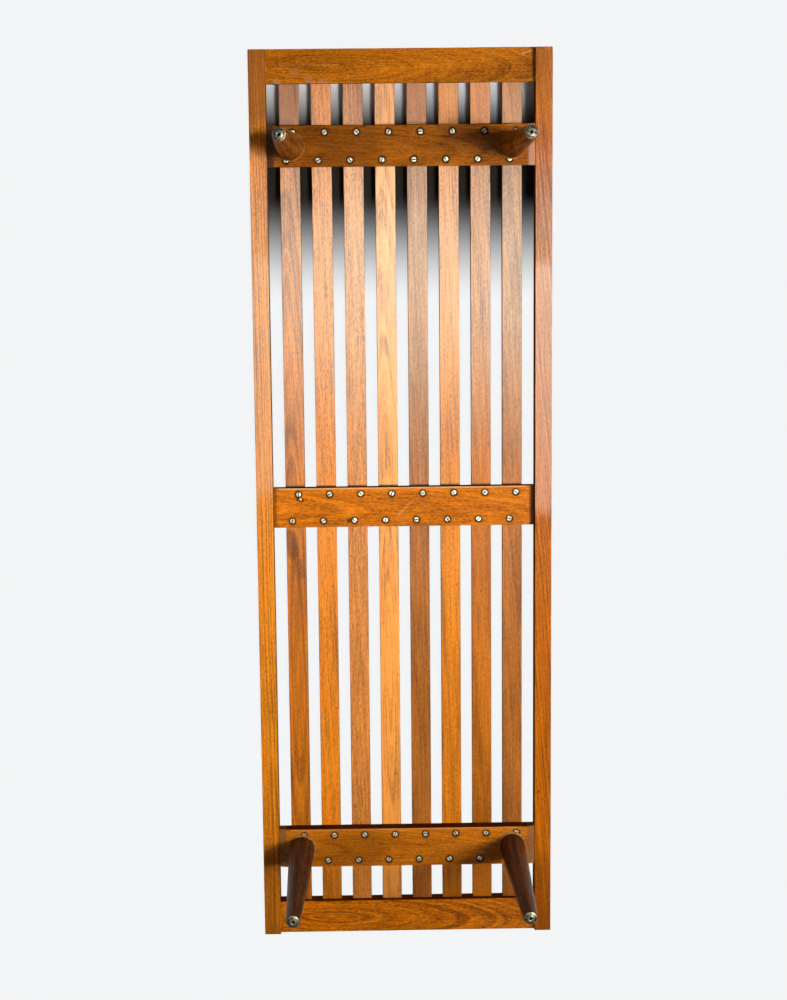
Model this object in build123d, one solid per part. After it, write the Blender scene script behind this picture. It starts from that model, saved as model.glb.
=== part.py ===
from build123d import *
import os
from math import asin, cos, degrees, radians, sin, sqrt, tan

# A low slat bench. X runs along its length, Y across it, Z is up, and the floor is at Z = 0.
# The end at +X is called the head end, the end at -X the foot end, +Y is right and -Y is left.
# All sizes are millimetres and degrees.

# Overall size
LENGTH = 1368.0
WIDTH = 450.0
HEIGHT = 305.0

# Frame: two long side rails with an end rail let in between them at each end
RAIL_WIDTH = 25.5
RAIL_DEPTH = 34.0
END_RAIL_WIDTH = 51.0
END_RAIL_DEPTH = 25.0
RAIL_EDGE_RADIUS = 1.5
END_RAIL_EDGE_RADIUS = 1.0

# Slats: stub tenons on both ends sit in mortises in the end rails
SLAT_COUNT = 8
SLAT_WIDTH = 30.0
SLAT_THICKNESS = 15.0
SLAT_EDGE_RADIUS = 1.2
SIDE_GAP_EXTRA = 1.2
TENON_LENGTH = 18.0
TENON_THICKNESS = 7.0
TENON_SHOULDER = 3.5
MORTISE_RELIEF = 0.8

# Battens: three cross pieces under the slats, the outer two carry the legs
BATTEN_WIDTH = 61.0
LEG_BATTEN_THICKNESS = 22.0
MIDDLE_BATTEN_THICKNESS = 12.5
MIDDLE_BATTEN_SHIFT = -3.0
BATTEN_EDGE_RADIUS = 0.8
BEVEL_WIDTH = 11.0
BEVEL_HEIGHT = 4.0

# Dowel pins: two in each frame corner, two in each end of each batten
CORNER_DOWEL_DIAMETER = 9.5
CORNER_DOWEL_SPACING = 23.0
CORNER_DOWEL_COVER = 10.5
CORNER_DOWEL_WALL = 3.0
BATTEN_DOWEL_DIAMETER = 6.0
BATTEN_DOWEL_SPACING = 33.0
BATTEN_DOWEL_COVER = 13.5
BATTEN_DOWEL_WALL = 4.6

# Slotted oval-head wood screws, two through a batten into each slat
SCREW_HEAD_DIAMETER = 8.0
SCREW_SHANK_DIAMETER = 4.0
SCREW_RIM_SINK = 0.9
SCREW_CROWN_SINK = 0.5
SCREW_POINT_LENGTH = 3.0
SCREW_POINT_DIAMETER = 1.0
SCREW_SLOT_WIDTH = 1.4
SCREW_SLOT_DEPTH = 1.1
SCREW_SLOT_TURN = 67.0
SCREW_EDGE_INSET = 10.0
SCREW_STAGGER = 5.0
SCREW_TOP_COVER = 6.0

# Legs: turned, tapered and splayed, each held by a hanger bolt in a threaded insert
LEG_END_INSET = 142.0
LEG_SIDE_INSET = 60.7
LEG_TOP_DIAMETER = 39.6
LEG_FOOT_DIAMETER = 20.6
LEG_SWELL = 0.6
LEG_FOOT_EDGE_RADIUS = 1.4
LEG_SPLAY = 4.9
LEG_SPLAY_TURN = 21.0
LEG_LIP_OVERHANG = 1.9
LEG_LIP_THICKNESS = 2.0
LEG_LIP_EDGE_RADIUS = 0.8
BOLT_DIAMETER = 7.94
BOLT_TIP_GAP = 1.2
BOLT_IN_LEG = 38.0
BOLT_END_CHAMFER = 1.0
BOLT_HOLE_RELIEF = 0.8
INSERT_WALL = 2.03
INSERT_COVER = 6.0

# Glides: a domed steel foot with a dimple and its nail
GLIDE_INSET = 0.8
GLIDE_RIM = 0.8
GLIDE_CROWN = 3.2
GLIDE_DIMPLE_DIAMETER = 6.6
GLIDE_DIMPLE_FLOOR_DIAMETER = 3.2
GLIDE_DIMPLE_DEPTH = 1.0
GLIDE_NAIL_DIAMETER = 2.6
GLIDE_NAIL_LENGTH = 16.0
GLIDE_NAIL_HOLE_RELIEF = 0.8

# Clearances: glued or driven fits, turning fits, and the gap at a batten's end
FIT_CLEARANCE = 0.05
TURN_CLEARANCE = 0.05
BATTEN_END_GAP = 0.3

# Levels and inner sizes that follow from the values above
INNER_WIDTH = WIDTH - 2 * RAIL_WIDTH
SHOULDER_X = LENGTH / 2 - END_RAIL_WIDTH
SLAT_BOTTOM = HEIGHT - SLAT_THICKNESS
RAIL_BOTTOM = HEIGHT - RAIL_DEPTH
END_RAIL_BOTTOM = HEIGHT - END_RAIL_DEPTH
LEG_TOP = SLAT_BOTTOM - LEG_BATTEN_THICKNESS
LEG_X = LENGTH / 2 - LEG_END_INSET
LEG_Y = WIDTH / 2 - LEG_SIDE_INSET
SLAT_GAP = (INNER_WIDTH - SLAT_COUNT * SLAT_WIDTH - 2 * SIDE_GAP_EXTRA) / (SLAT_COUNT + 1)
SIDE_GAP = SLAT_GAP + SIDE_GAP_EXTRA
SLAT_PITCH = SLAT_WIDTH + SLAT_GAP
SLAT_CENTRES = [(i - (SLAT_COUNT - 1) / 2) * SLAT_PITCH for i in range(SLAT_COUNT)]
CORNER_DOWEL_IN_RAIL = RAIL_WIDTH - CORNER_DOWEL_COVER
CORNER_DOWEL_IN_END_RAIL = SIDE_GAP + TENON_SHOULDER - CORNER_DOWEL_WALL
BATTEN_DOWEL_IN_RAIL = RAIL_WIDTH - BATTEN_DOWEL_COVER
FIRST_SCREW = SIDE_GAP + SLAT_WIDTH / 2 - SCREW_STAGGER
BATTEN_DOWEL_IN_BATTEN = FIRST_SCREW - SCREW_HEAD_DIAMETER / 2 - BATTEN_DOWEL_WALL
INSERT_DIAMETER = BOLT_DIAMETER + 2 * INSERT_WALL
INSERT_LENGTH = LEG_BATTEN_THICKNESS - INSERT_COVER
BOLT_IN_INSERT = INSERT_LENGTH - BOLT_TIP_GAP
LEG_LIP_DIAMETER = LEG_TOP_DIAMETER + 2 * LEG_LIP_OVERHANG
GLIDE_DIAMETER = LEG_FOOT_DIAMETER - 2 * GLIDE_INSET

# The battens by name: centre along X, thickness, and whether the ends are bevelled
BATTENS = {
    "head_leg_batten": (LEG_X, LEG_BATTEN_THICKNESS, True),
    "middle_batten": (MIDDLE_BATTEN_SHIFT, MIDDLE_BATTEN_THICKNESS, False),
    "foot_leg_batten": (-LEG_X, LEG_BATTEN_THICKNESS, True),
}

# The corners by name: the side of X and of Y that each lies on
CORNERS = {
    "head_left": (1, -1),
    "head_right": (1, 1),
    "foot_left": (-1, -1),
    "foot_right": (-1, 1),
}


def block(x_from, x_to, y_from, y_to, z_from, z_to):
    """A square-edged block between two corners."""
    middle = ((x_from + x_to) / 2, (y_from + y_to) / 2, (z_from + z_to) / 2)
    return Pos(*middle) * Box(x_to - x_from, y_to - y_from, z_to - z_from)


def upright(x, y, z_from, z_to, diameter):
    """A round pin or hole standing along Z."""
    return Pos(x, y, (z_from + z_to) / 2) * Cylinder(diameter / 2, z_to - z_from)


def crosswise(x, y_from, y_to, z, diameter):
    """A round pin or hole lying along Y."""
    return Pos(x, (y_from + y_to) / 2, z) * Rot(90, 0, 0) * Cylinder(diameter / 2, y_to - y_from)


def turned(points):
    """A solid turned about Z from an outline of radius and height."""
    outline = Polyline(*[(radius, 0, height) for radius, height in points], close=True)
    return revolve(make_face(outline), Axis.Z)


def corner_dowel_places():
    """Each corner dowel's X, side of Y and Z."""
    spread = CORNER_DOWEL_SPACING / 2
    level = (max(END_RAIL_BOTTOM, RAIL_BOTTOM) + HEIGHT) / 2
    centre = LENGTH / 2 - END_RAIL_WIDTH / 2
    return [
        (end * centre + step * spread, side, level)
        for end in (1, -1)
        for side in (1, -1)
        for step in (1, -1)
    ]


def corner_dowel(x, side, z, spare=0.0):
    """One corner dowel, or with spare its hole."""
    face = INNER_WIDTH / 2
    ends = (side * (face - CORNER_DOWEL_IN_END_RAIL - spare), side * (face + CORNER_DOWEL_IN_RAIL + spare))
    return crosswise(x, min(ends), max(ends), z, CORNER_DOWEL_DIAMETER + 2 * spare)


def batten_dowel_places():
    """Each batten dowel's X, side of Y and Z."""
    places = []
    for centre, thickness, _ in BATTENS.values():
        level = (max(SLAT_BOTTOM - thickness, RAIL_BOTTOM) + SLAT_BOTTOM) / 2
        spread = BATTEN_DOWEL_SPACING / 2
        for side in (1, -1):
            for step in (1, -1):
                places.append((centre + step * spread, side, level))
    return places


def batten_dowel(x, side, z, spare=0.0):
    """One batten dowel, or with spare its hole."""
    face = INNER_WIDTH / 2
    ends = (side * (face - BATTEN_DOWEL_IN_BATTEN - spare), side * (face + BATTEN_DOWEL_IN_RAIL + spare))
    return crosswise(x, min(ends), max(ends), z, BATTEN_DOWEL_DIAMETER + 2 * spare)


def corner_dowel_holes():
    """The dowel holes of the frame's corners."""
    return [corner_dowel(*place, spare=FIT_CLEARANCE) for place in corner_dowel_places()]


def batten_dowel_holes():
    """The dowel holes between the battens and the side rails."""
    return [batten_dowel(*place, spare=FIT_CLEARANCE) for place in batten_dowel_places()]


def side_rail(side):
    """A side rail on one side of Y."""
    ends = (side * INNER_WIDTH / 2, side * WIDTH / 2)
    rail = block(-LENGTH / 2, LENGTH / 2, min(ends), max(ends), RAIL_BOTTOM, HEIGHT)
    rail = fillet(rail.edges(), RAIL_EDGE_RADIUS)
    return rail - corner_dowel_holes() - batten_dowel_holes()


def tenon(end, centre, spare=0.0, relief=0.0):
    """The tenon at one end of a slat, or with spare and relief its mortise."""
    reach = (end * (SHOULDER_X - relief), end * (SHOULDER_X + TENON_LENGTH + relief))
    half_width = SLAT_WIDTH / 2 - TENON_SHOULDER + spare
    half_thickness = TENON_THICKNESS / 2 + spare
    level = HEIGHT - SLAT_THICKNESS / 2
    return block(
        min(reach), max(reach),
        centre - half_width, centre + half_width,
        level - half_thickness, level + half_thickness,
    )


def end_rail(end):
    """An end rail at one end of X, with a mortise for each slat."""
    reach = (end * SHOULDER_X, end * LENGTH / 2)
    rail = block(min(reach), max(reach), -INNER_WIDTH / 2, INNER_WIDTH / 2, END_RAIL_BOTTOM, HEIGHT)
    rail = fillet(rail.edges().filter_by(Axis.Y), END_RAIL_EDGE_RADIUS)
    mortises = [tenon(end, centre, FIT_CLEARANCE, MORTISE_RELIEF) for centre in SLAT_CENTRES]
    return rail - mortises - corner_dowel_holes()


def screw_places(batten):
    """X and Y of the screws in a batten: on each slat one to each side of its middle."""
    centre, _, _ = BATTENS[batten]
    row = BATTEN_WIDTH / 2 - SCREW_EDGE_INSET
    return [
        (centre + step * row, slat + step * SCREW_STAGGER)
        for step in (1, -1)
        for slat in SLAT_CENTRES
    ]


def screw_levels(batten):
    """The underside of a batten, where its screws start, and the height of their points."""
    _, thickness, _ = BATTENS[batten]
    return SLAT_BOTTOM - thickness, HEIGHT - SCREW_TOP_COVER


def screw(x, y, batten, turn):
    """A wood screw driven up into a slat, its slot turned as the driver left it."""
    face, point = screw_levels(batten)
    rim = SCREW_HEAD_DIAMETER / 2
    shank = SCREW_SHANK_DIAMETER / 2
    crown = SCREW_RIM_SINK - SCREW_CROWN_SINK
    ball = (rim**2 + crown**2) / (2 * crown)
    half_arc = asin(rim / ball) / 2
    side_of_crown = (ball * sin(half_arc), SCREW_CROWN_SINK + ball * (1 - cos(half_arc)))
    length = point - face
    lower = Polyline(
        (rim, 0, SCREW_RIM_SINK),
        (shank, 0, SCREW_RIM_SINK + rim - shank),
        (shank, 0, length - SCREW_POINT_LENGTH),
        (SCREW_POINT_DIAMETER / 2, 0, length),
        (0, 0, length),
        (0, 0, SCREW_CROWN_SINK),
    )
    dome = ThreePointArc(
        (0, 0, SCREW_CROWN_SINK),
        (side_of_crown[0], 0, side_of_crown[1]),
        (rim, 0, SCREW_RIM_SINK),
    )
    body = revolve(make_face(lower + dome), Axis.Z)
    slot = Box(SCREW_HEAD_DIAMETER + SCREW_SLOT_WIDTH, SCREW_SLOT_WIDTH, 2 * SCREW_SLOT_DEPTH)
    body -= Pos(0, 0, SCREW_CROWN_SINK) * slot
    return Pos(x, y, face) * Rot(0, 0, turn) * body


def screw_hole(x, y, batten):
    """The countersunk hole of a screw, through its batten and into its slat."""
    face, point = screw_levels(batten)
    rim = SCREW_HEAD_DIAMETER / 2 + FIT_CLEARANCE
    shank = SCREW_SHANK_DIAMETER / 2 + FIT_CLEARANCE
    length = point - face + FIT_CLEARANCE
    outline = [
        (0, -SCREW_RIM_SINK),
        (rim + 2 * SCREW_RIM_SINK, -SCREW_RIM_SINK),
        (shank, SCREW_RIM_SINK + rim - shank),
        (shank, length),
        (0, length),
    ]
    return Pos(x, y, face) * turned(outline)


def slat(centre):
    """A slat with its tenons and the pilot holes of its screws."""
    edge = SLAT_WIDTH / 2
    board = block(-SHOULDER_X, SHOULDER_X, centre - edge, centre + edge, SLAT_BOTTOM, HEIGHT)
    board = fillet(board.edges().filter_by(Axis.X), SLAT_EDGE_RADIUS)
    board += [tenon(end, centre) for end in (1, -1)]
    holes = [
        screw_hole(x, y, batten)
        for batten in BATTENS
        for x, y in screw_places(batten)
        if abs(y - centre) < edge
    ]
    return board - holes


def insert_hole(end, side):
    """The hole for a threaded insert in a leg batten."""
    top = LEG_TOP + INSERT_LENGTH + FIT_CLEARANCE
    return upright(end * LEG_X, side * LEG_Y, LEG_TOP - FIT_CLEARANCE, top, INSERT_DIAMETER + 2 * FIT_CLEARANCE)


def batten(name):
    """A cross batten under the slats; the ends of a leg batten are bevelled below."""
    centre, thickness, bevelled = BATTENS[name]
    bottom = SLAT_BOTTOM - thickness
    reach = INNER_WIDTH / 2 - BATTEN_END_GAP
    bevel_width, bevel_height = (BEVEL_WIDTH, BEVEL_HEIGHT) if bevelled else (0, 0)
    outline = [(-reach, SLAT_BOTTOM), (reach, SLAT_BOTTOM), (reach, bottom + bevel_height)]
    if bevelled:
        outline += [(reach - bevel_width, bottom), (bevel_width - reach, bottom)]
    outline += [(-reach, bottom + bevel_height)]
    face = make_face(Polyline(*[(centre, y, z) for y, z in outline], close=True))
    board = extrude(face, BATTEN_WIDTH / 2, dir=(1, 0, 0), both=True)
    lower_edges = board.edges().filter_by(Axis.Y).group_by(Axis.Z)[0]
    board = fillet(lower_edges, BATTEN_EDGE_RADIUS)
    holes = batten_dowel_holes() + [screw_hole(x, y, name) for x, y in screw_places(name)]
    if bevelled:
        end = 1 if centre > 0 else -1
        holes += [insert_hole(end, side) for side in (1, -1)]
    return board - holes


def threaded_insert(end, side):
    """A barrel with a bore for the hanger bolt, flush with the underside of its batten."""
    x, y = end * LEG_X, side * LEG_Y
    barrel = upright(x, y, LEG_TOP, LEG_TOP + INSERT_LENGTH, INSERT_DIAMETER)
    bore = upright(x, y, LEG_TOP, LEG_TOP + INSERT_LENGTH, BOLT_DIAMETER + 2 * TURN_CLEARANCE)
    return barrel - bore


def hanger_bolt(end, side):
    """The stud that holds a leg to its insert."""
    bolt = upright(end * LEG_X, side * LEG_Y, LEG_TOP - BOLT_IN_LEG, LEG_TOP + BOLT_IN_INSERT, BOLT_DIAMETER)
    return chamfer(bolt.edges().filter_by(GeomType.CIRCLE), BOLT_END_CHAMFER)


def glide_reach():
    """How far a glide's lowest point lies below the middle of the leg's foot, on the splayed leg."""
    rim = GLIDE_DIAMETER / 2
    rise = GLIDE_CROWN - GLIDE_RIM
    ball = (rim**2 + rise**2) / (2 * rise)
    dimple_angle = degrees(asin(GLIDE_DIMPLE_DIAMETER / 2 / ball))
    lowest_angle = max(0.0, dimple_angle - LEG_SPLAY)
    return (GLIDE_CROWN - ball) * cos(radians(LEG_SPLAY)) + ball * cos(radians(lowest_angle))


LEG_LENGTH = (LEG_TOP - glide_reach()) / cos(radians(LEG_SPLAY))


def leg_plane(end, side):
    """A plane at the middle of a leg's top, whose Z runs down the leg."""
    turn = radians(LEG_SPLAY_TURN)
    lean = radians(LEG_SPLAY)
    down = (end * sin(lean) * cos(turn), side * sin(lean) * sin(turn), -cos(lean))
    return Plane(origin=(end * LEG_X, side * LEG_Y, LEG_TOP), x_dir=(0, 1, 0), z_dir=down)


def leg(end, side):
    """A tapered leg, cut to lie flat against its batten, with a lip round its top."""
    top, foot = LEG_TOP_DIAMETER / 2, LEG_FOOT_DIAMETER / 2
    spare = top * tan(radians(LEG_SPLAY)) + LEG_LIP_THICKNESS
    taper = (top - foot) / LEG_LENGTH
    wide = top + taper * spare
    ease = LEG_FOOT_EDGE_RADIUS
    corner = ease * (1 - sqrt(0.5))
    middle = ((wide + foot) / 2 + LEG_SWELL, (LEG_LENGTH - ease - spare) / 2)
    side_line = ThreePointArc((wide, 0, -spare), (middle[0], 0, middle[1]), (foot, 0, LEG_LENGTH - ease))
    foot_edge = ThreePointArc(
        (foot, 0, LEG_LENGTH - ease),
        (foot - corner, 0, LEG_LENGTH - corner),
        (foot - ease, 0, LEG_LENGTH),
    )
    rest = Polyline((foot - ease, 0, LEG_LENGTH), (0, 0, LEG_LENGTH), (0, 0, -spare), (wide, 0, -spare))
    turning = revolve(make_face(side_line + foot_edge + rest), Axis.Z)
    nail_depth = GLIDE_NAIL_LENGTH + GLIDE_NAIL_HOLE_RELIEF
    nail_hole = upright(0, 0, LEG_LENGTH - nail_depth, LEG_LENGTH, GLIDE_NAIL_DIAMETER + 2 * FIT_CLEARANCE)
    solid = leg_plane(end, side) * (turning - nail_hole)
    x, y = end * LEG_X, side * LEG_Y
    cut = Pos(x, y, LEG_TOP + spare) * Box(4 * wide, 4 * wide, 2 * spare)
    solid -= cut
    lip = upright(x, y, LEG_TOP - LEG_LIP_THICKNESS, LEG_TOP, LEG_LIP_DIAMETER)
    lip = fillet(lip.edges().group_by(Axis.Z)[0], LEG_LIP_EDGE_RADIUS)
    solid += lip
    bolt_depth = BOLT_IN_LEG + BOLT_HOLE_RELIEF
    return solid - upright(x, y, LEG_TOP - bolt_depth, LEG_TOP, BOLT_DIAMETER + 2 * TURN_CLEARANCE)


def glide(end, side):
    """A domed nail-on glide under a leg's foot."""
    rim, dimple = GLIDE_DIAMETER / 2, GLIDE_DIMPLE_DIAMETER / 2
    rise = GLIDE_CROWN - GLIDE_RIM
    ball = (rim**2 + rise**2) / (2 * rise)
    dimple_height = GLIDE_CROWN - ball + sqrt(ball**2 - dimple**2)
    halfway = (rim + dimple) / 2
    halfway_height = GLIDE_CROWN - ball + sqrt(ball**2 - halfway**2)
    nail = GLIDE_NAIL_DIAMETER / 2
    floor = dimple_height - GLIDE_DIMPLE_DEPTH
    dome = ThreePointArc((rim, 0, GLIDE_RIM), (halfway, 0, halfway_height), (dimple, 0, dimple_height))
    rest = Polyline(
        (dimple, 0, dimple_height),
        (GLIDE_DIMPLE_FLOOR_DIAMETER / 2, 0, floor),
        (0, 0, floor),
        (0, 0, -GLIDE_NAIL_LENGTH),
        (nail, 0, -GLIDE_NAIL_LENGTH),
        (nail, 0, 0),
        (rim, 0, 0),
        (rim, 0, GLIDE_RIM),
    )
    solid = revolve(make_face(dome + rest), Axis.Z)
    return leg_plane(end, side) * Pos(0, 0, LEG_LENGTH) * solid


def screws(name):
    """All the screws of one batten."""
    return Compound(
        children=[
            screw(x, y, name, turn * SCREW_SLOT_TURN)
            for turn, (x, y) in enumerate(screw_places(name))
        ]
    )


def build():
    """Every piece of the bench by name."""
    pieces = {
        "left_side_rail": side_rail(-1),
        "right_side_rail": side_rail(1),
        "head_end_rail": end_rail(1),
        "foot_end_rail": end_rail(-1),
    }
    for number, centre in enumerate(SLAT_CENTRES, start=1):
        pieces[f"slat_{number}"] = slat(centre)
    for name in BATTENS:
        pieces[name] = batten(name)
        pieces[name + "_screws"] = screws(name)
    pieces["corner_dowels"] = Compound(children=[corner_dowel(*place) for place in corner_dowel_places()])
    pieces["batten_dowels"] = Compound(children=[batten_dowel(*place) for place in batten_dowel_places()])
    pieces["threaded_inserts"] = Compound(children=[threaded_insert(*corner) for corner in CORNERS.values()])
    for name, corner in CORNERS.items():
        pieces[name + "_leg"] = leg(*corner)
        pieces[name + "_hanger_bolt"] = hanger_bolt(*corner)
        pieces[name + "_glide"] = glide(*corner)
    return pieces


os.makedirs("parts", exist_ok=True)
for node, shape in build().items():
    export_step(shape, f"parts/{node}.step")
print("leg length", round(LEG_LENGTH, 2), "slat gap", round(SLAT_GAP, 2), "slat pitch", round(SLAT_PITCH, 2))
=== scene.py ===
from functools import partial
from math import cos, pi, radians, sin
import bpy
from mathutils import Matrix, Vector


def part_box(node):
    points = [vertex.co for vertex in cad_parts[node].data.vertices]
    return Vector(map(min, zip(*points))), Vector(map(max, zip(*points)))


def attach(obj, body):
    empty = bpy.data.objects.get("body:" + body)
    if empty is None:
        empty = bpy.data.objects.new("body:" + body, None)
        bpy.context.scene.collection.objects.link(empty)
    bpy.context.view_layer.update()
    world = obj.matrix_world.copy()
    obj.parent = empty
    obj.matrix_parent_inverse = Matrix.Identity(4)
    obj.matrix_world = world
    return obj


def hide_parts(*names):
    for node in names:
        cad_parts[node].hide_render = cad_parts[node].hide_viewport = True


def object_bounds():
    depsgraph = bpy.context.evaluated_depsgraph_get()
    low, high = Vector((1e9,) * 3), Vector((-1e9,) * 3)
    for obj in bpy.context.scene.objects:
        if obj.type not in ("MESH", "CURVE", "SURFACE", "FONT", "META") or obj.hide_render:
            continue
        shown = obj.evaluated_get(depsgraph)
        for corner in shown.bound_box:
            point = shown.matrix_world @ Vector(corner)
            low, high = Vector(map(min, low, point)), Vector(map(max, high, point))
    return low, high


# Looks of a low slat bench. The camera looks at its underside, with the head end up in the picture.
# Metres; X runs along the bench to its head end, Y across it to the right, Z up from the floor.

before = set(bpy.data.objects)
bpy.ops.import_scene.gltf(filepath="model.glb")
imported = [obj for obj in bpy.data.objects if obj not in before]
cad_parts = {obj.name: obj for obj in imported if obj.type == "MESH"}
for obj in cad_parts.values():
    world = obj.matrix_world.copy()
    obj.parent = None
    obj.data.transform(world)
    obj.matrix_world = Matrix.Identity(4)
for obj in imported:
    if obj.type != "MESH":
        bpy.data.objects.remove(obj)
cad_low, cad_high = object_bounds()

SLATS = [f"slat_{number}" for number in range(1, 9)]
SIDE_RAILS = ["left_side_rail", "right_side_rail"]
END_RAILS = ["head_end_rail", "foot_end_rail"]
BATTENS = ["head_leg_batten", "middle_batten", "foot_leg_batten"]
CORNERS = ["head_left", "head_right", "foot_left", "foot_right"]

# Wood tones, as sRGB values from 0 to 255
SLAT_TONES = {
    "slat_1": (192, 105, 12),
    "slat_2": (230, 132, 22),
    "slat_3": (211, 130, 55),
    "slat_4": (250, 160, 68),
    "slat_5": (172, 99, 32),
    "slat_6": (218, 125, 18),
    "slat_7": (194, 108, 15),
    "slat_8": (176, 102, 36),
}
RAIL_TONES = {"left_side_rail": (218, 127, 20), "right_side_rail": (192, 100, 8)}
END_RAIL_TONES = {"head_end_rail": (188, 106, 12), "foot_end_rail": (206, 110, 3)}
BATTEN_TONES = {
    "head_leg_batten": (157, 86, 12),
    "middle_batten": (200, 110, 18),
    "foot_leg_batten": (194, 107, 6),
}
LEG_TONES = {"head": (150, 85, 25), "foot": (92, 47, 8)}
LIP_TONE = (206, 146, 96)
BEVEL_TONE = (128, 92, 62)
DOWEL_TONE = (196, 158, 108)
FOOT_END_TONE = (118, 54, 0)
BATTEN_SHADE_TONE = (26, 13, 5)

# Metal tones, clean and stained, and the black of painted shade and grime on them
NICKEL = ((214, 208, 196), (140, 122, 96))
GLIDE_STEEL = ((160, 154, 144), (58, 48, 38))
BRASS = ((190, 150, 84), (120, 88, 44))
ZINC = ((176, 176, 172), (110, 104, 92))
SHADE_AND_GRIME_TONE = (22, 16, 11)

# How each kind of board is cut and finished: how strong rings, flecks and clouds are, where the pith lay
# across and behind the board, how the grain leans to it, and how glossy the lacquer is
RAIL_LOOK = {"figure": 1.9, "flecks": 0.9, "pith": (0.08, 0.02), "gloss": 0.25, "head_gloss": 0.06}
RAIL_TILTS = {"left_side_rail": (0.012, 0.03), "right_side_rail": (0.102, 0.03)}
END_RAIL_LOOK = {"clouds": 1.0, "pith": (0.004, 0.03), "tilt": (0.02, 0.16), "gloss": 0.2}
END_RAIL_FIGURES = {
    "head_end_rail": {"figure": 1.1, "flecks": 1.4},
    "foot_end_rail": {"figure": 1.9, "flecks": 1.3},
}
BATTEN_LOOK = {"clouds": 0.6, "pith": (0.01, 0.04), "tilt": (0.05, 0.09), "gloss": 0.2}
PLAIN_SLAT_FIGURE = 0.9
PLAIN_SLAT_PITH = (0.02, 0.035)
PLAIN_SLAT_PITH_STEP = (0.012, 0.01)
FIGURED_SLATS = ["slat_1", "slat_4"]
FIGURED_SLAT_LOOK = {"figure": 1.5, "pith": (0.003, 0.02), "tilt": (0.01, 0.05)}
SMOOTH_SLATS = ["slat_4"]
SMOOTH_FLECKS = 0.45
SLAT_FLECKS = 0.85
LEG_LOOK = {"figure": 1.8, "tilt": (0.06, 0.10), "clouds": 2.4, "cloud_scale": (5, 150)}
LEG_GLOSS = {"head": 0.01, "foot": 0.06}

# Seeds of the grain: the first board of each kind, the step to the next, and steps to a board's other marks
RAIL_SEED = 11
END_RAIL_SEED = 21
SLAT_SEED = 31
BATTEN_SEED = 61
LEG_SEED = 81
DOWEL_SEED = 97
SEED_STEP = 3
SLAT_SEED_STEP = 2.3
LEG_SEED_STEP = 4
PATCH_SEED, SPECK_SEED, CLOUD_SEED, FLECK_SEED, PORE_SEED = 2, 4, 5, 9, 14
SEED_SHIFT = (3.7, 1.3, 2.1)

# Wood: how close its marks lie along and across the grain, per metre, how much they count in its tone,
# and the ramp from that to shades of a board's own tone
DRIFT_SCALE = (3, 18)
STREAK_SCALE = (16, 640)
FLECK_SCALE = (200, 950)
PORE_SCALE = (110, 950)
CLOUD_SCALE = (5, 34)
RINGS_PER_METRE = 300.0
RING_DRIFT = 0.014
RING_WEIGHT = 0.65
STREAK_WEIGHT = 1.2
FLECK_WEIGHT = 1.15
WOOD_RAMP = [(0.06, 0.34), (0.36, 0.74), (0.60, 1.06), (0.94, 1.50)]
PORES = (0.58, 0.72)
PORE_WEIGHT = 0.4
PORE_SHADE = 0.25
PORE_DEPTH = 0.8

# Shades of a tone: how much faster green and blue change than red
GREEN_POWER = 1.12
BLUE_POWER = 1.2

# Lacquer: its roughness on dark and pale streaks and where it is matt, and the grain's relief under it
DARK_STREAK_ROUGHER = 0.05
PALE_STREAK_SMOOTHER = 0.04
STREAK_RANGE = (0.2, 0.8)
MATT_ROUGHNESS = 0.95
RELIEF_STRENGTH = 0.3
RELIEF_DEPTH = 0.0003

# Wear on boards, as ranges of the distance from an edge and of the noise that makes patches and specks
PATCH_SCALE = (16, 60)
SPECK_SCALE = (90, 90)
RUBBED_EDGE = (0.0022, 0.0006)
RUBBED_PATCHES = (0.46, 0.66)
RUBBED_STRENGTH = 0.55
RUBBED_SHADE = 1.7
GRIMY_EDGE = (0.0012, 0.0)
GRIMY_PATCHES = (0.60, 0.40)
GRIMY_STRENGTH = 0.6
GRIMY_SHADE = 0.2
SPECKS = (0.74, 0.78)
SPECK_STRENGTH = 0.5
SPECK_SHADE = 0.3

# Faces of boards: the skin that counts as a side, how dark sides are painted as shade and stain, what looks
# down, and the stretch of X over which the rails lose their gloss towards the head end
SIDE_SKIN = (0.0005, 0.0001)
SIDE_SHADE = 0.22
MIDDLE_BATTEN_SIDE_SHADE = 0.08
DOWNWARD = (-0.4, -0.8)
HEAD_STRETCH = (0.46, 0.60)

# Darker undersides at the slats' foot ends, by X, and painted shade along the middle batten, by the distance
# from it
FOOT_END_REACH = (-0.55, -0.60)
FOOT_END_STRENGTH = 0.3
BATTEN_SHADE_END = (0.0024, 0.0012)
BATTEN_SHADE_START = (-0.002, 0.0)
BATTEN_SHADE_STRENGTH = 0.85

# Battens: their rows of screws, the countersinks painted dark as shade, the stains round the screws, and the
# bevelled ends
SCREW_ROW = 0.0205
SCREW_STAGGER = 0.005
COUNTERSINK_RADIUS = 0.0054
COUNTERSINK_BLUR = 0.0006
COUNTERSINK_SHADE = 0.04
SCREW_STAIN = (0.0060, 0.0026)
SCREW_STAIN_RAGGED = 0.005
SCREW_STAIN_STRENGTH = 0.7
SCREW_STAIN_SHADE = 0.35
SMUDGE_SCALE = 160.0
BEVEL_WIDTH = 0.011
BEVEL_BLUR = 0.001
BEVEL_STRENGTH = 0.6

# Legs: the rubbed lip at the top, by the distance below it and by the noise that breaks it up
LIP_DEPTH = (0.0044, 0.0030)
LIP_PATCHES = (0.25, 0.55)
LIP_PATCH_SCALE = 240.0
LIP_WEAR = {"head": 0.25, "foot": 0.75}
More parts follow.
